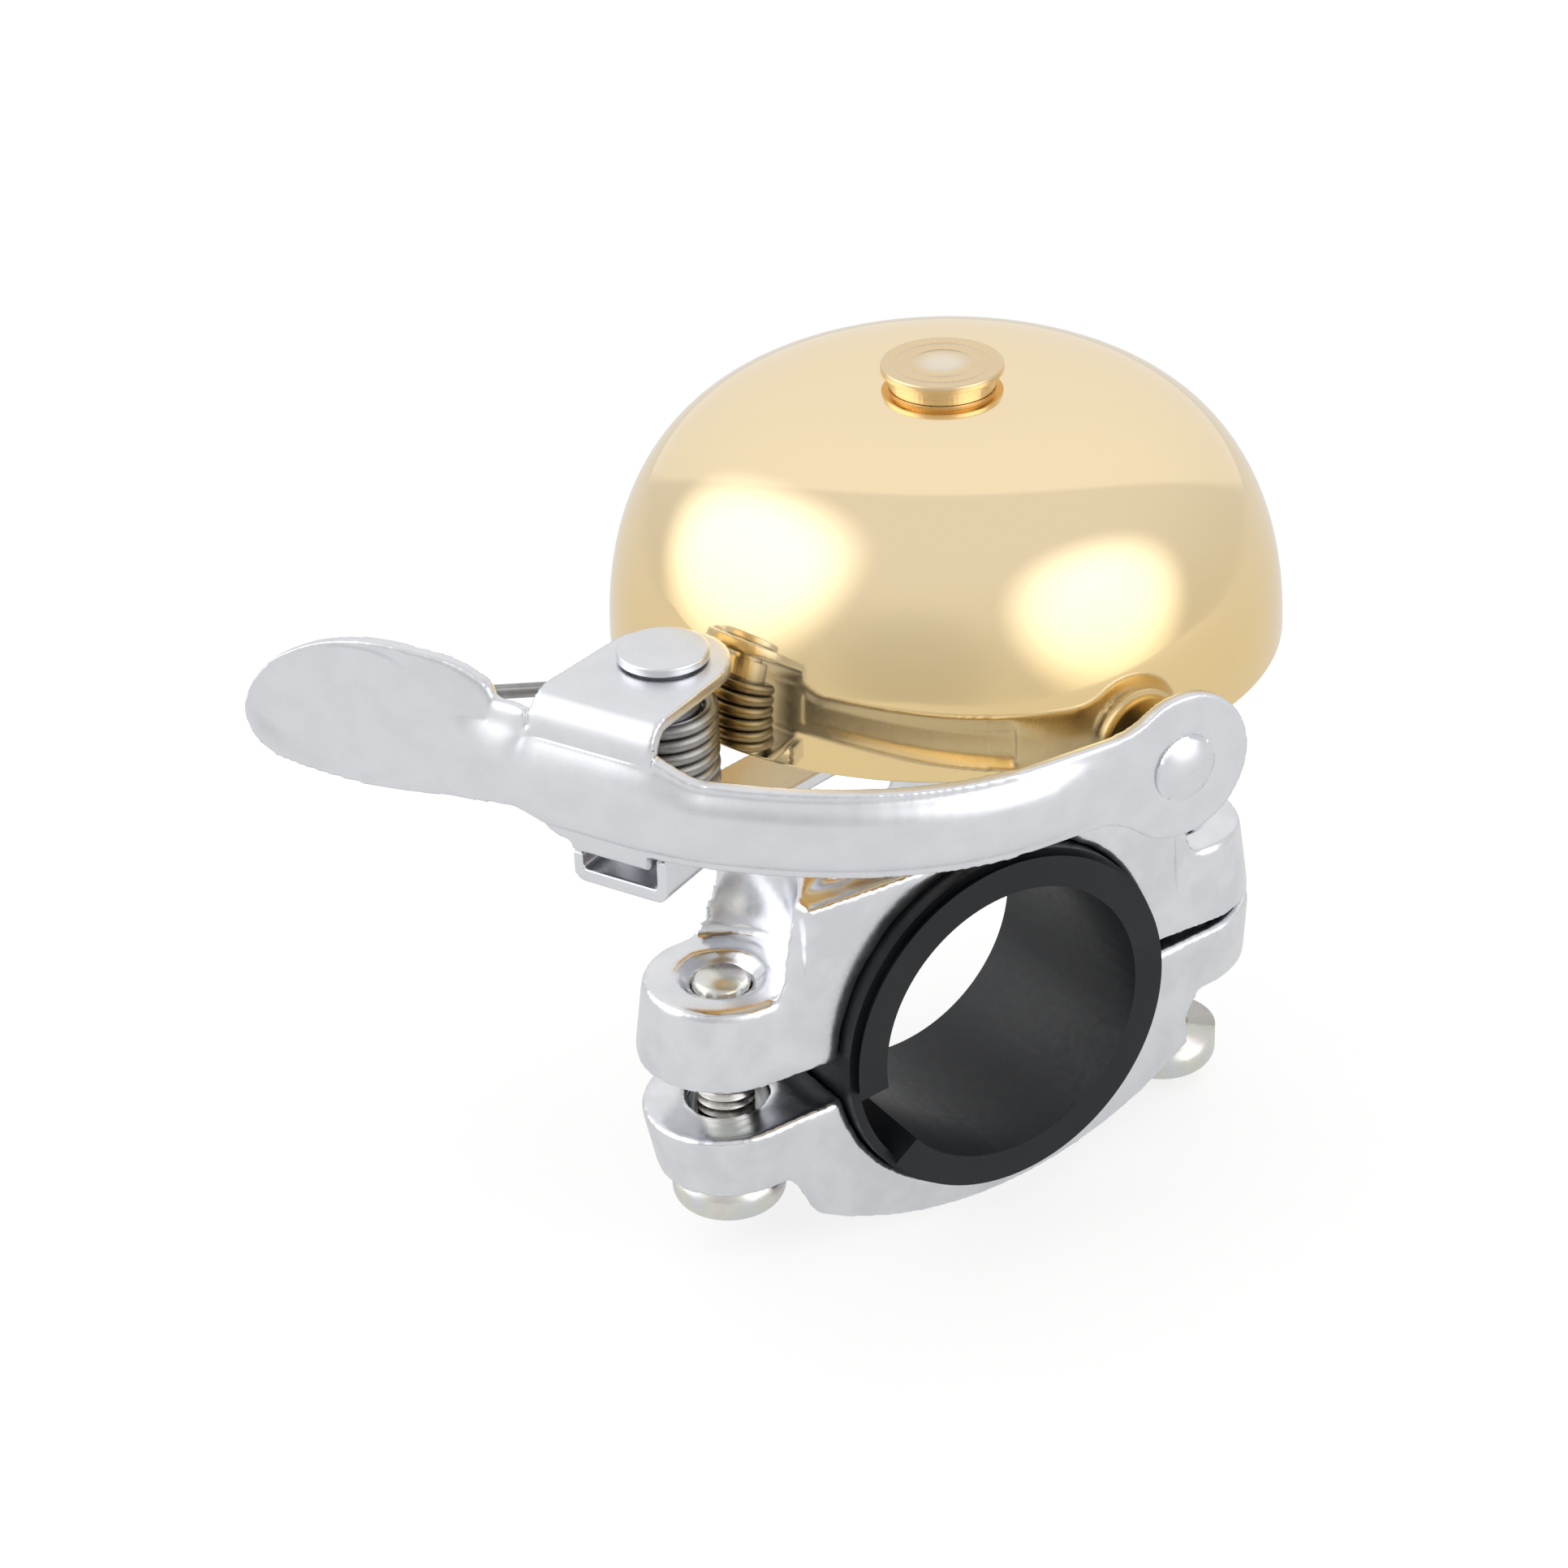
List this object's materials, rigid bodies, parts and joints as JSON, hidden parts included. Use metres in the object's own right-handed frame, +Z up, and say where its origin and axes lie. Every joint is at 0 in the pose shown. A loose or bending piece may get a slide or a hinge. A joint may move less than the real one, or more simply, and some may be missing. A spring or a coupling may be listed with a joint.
{
  "type": "bicycle bell",
  "caption": "Brass dome bicycle bell with a spring-loaded thumb lever and striker, on a two-piece clamp with reducer sleeves for a handlebar.",
  "frame": {"origin": "centre of the handlebar bore", "axes": "+Z up along the bell's axis, +X along the handlebar towards the side with the lever's eyelet, +Y towards the right-hand clamp screw"},
  "size_m": [0.06, 0.088, 0.0757],
  "materials": {
    "cast_aluminium": "tumbled cast aluminium",
    "black_plastic": "satin black moulded plastic",
    "zinc_plate": "zinc-plated steel with a faint yellow-green passivation",
    "stainless": "satin stainless sheet",
    "spring_steel": "bright drawn spring wire",
    "brass": "polished pale brass"
  },
  "bodies": {
    "base": {"clamp_upper": "cast_aluminium", "clamp_lower": "cast_aluminium", "bar_liner": "black_plastic", "bar_reducer": "black_plastic", "clamp_screw_left": "zinc_plate", "clamp_screw_right": "zinc_plate", "base_bracket": "stainless", "bell_post": "zinc_plate", "lock_washer": "stainless", "dome_seat_washer": "stainless", "bell_dome": "brass", "cap_washer": "brass", "cap_screw": "brass", "pivot_rivet": "stainless", "pivot_spacer": "stainless", "pivot_sleeve": "stainless", "pivot_washer": "stainless", "torsion_spring": "spring_steel"},
    "lever": {"lever": "stainless", "hammer": "stainless", "hammer_rivet": "stainless"}
  },
  "joints": [
    {"name": "lever_swing", "type": "hinge", "parent": "base", "child": "lever", "pos_m": [0.00815, -0.0313, 0.037], "axis": [0, 0, 1], "range_deg": [-22, 1.2], "stiffness_Nm_per_rad": 0.05, "deforming": ["torsion_spring"]}
  ]
}
